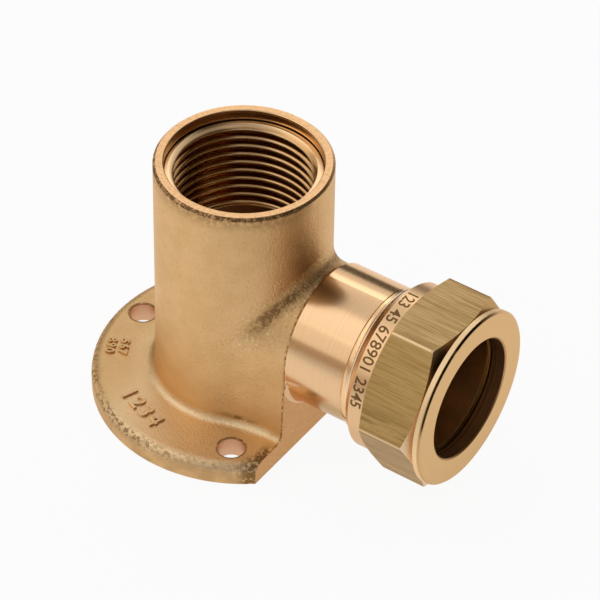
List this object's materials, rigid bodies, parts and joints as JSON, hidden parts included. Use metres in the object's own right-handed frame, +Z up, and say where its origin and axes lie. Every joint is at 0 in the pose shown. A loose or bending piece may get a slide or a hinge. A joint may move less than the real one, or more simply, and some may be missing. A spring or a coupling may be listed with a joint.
{
  "type": "wall plate elbow",
  "caption": "Cast brass elbow on a round wall flange with screw holes, with a female pipe thread on its tower and a compression nut and olive on its arm.",
  "frame": {"origin": "where the axis of the threaded tower meets the back face of the wall flange", "axes": "+Z up the tower, away from the wall; +X out along the arm, towards the nut's face"},
  "size_m": [0.0743, 0.0542, 0.0502],
  "materials": {
    "elbow_body": "blasted casting, machined ends",
    "olive": "turned",
    "compression_nut": "drawn hexagon bar, turned ends"
  },
  "bodies": {
    "elbow_body": {"elbow_body": "elbow_body"},
    "olive": {"olive": "olive"},
    "nut": {"compression_nut": "compression_nut"}
  },
  "joints": [
    {"name": "nut_travel", "type": "slide", "parent": "elbow_body", "child": "olive", "axis": [1, 0, 0], "range_m": [0, 0.0059]},
    {"name": "nut_turn", "type": "hinge", "parent": "olive", "child": "nut", "pos_m": [0.039, 0, 0.0206], "axis": [1, 0, 0], "range_deg": [0, 1170]}
  ],
  "couplings": [
    {"joint": "nut_travel", "follows": "nut_turn", "m_per_rad": 0.00028871}
  ]
}
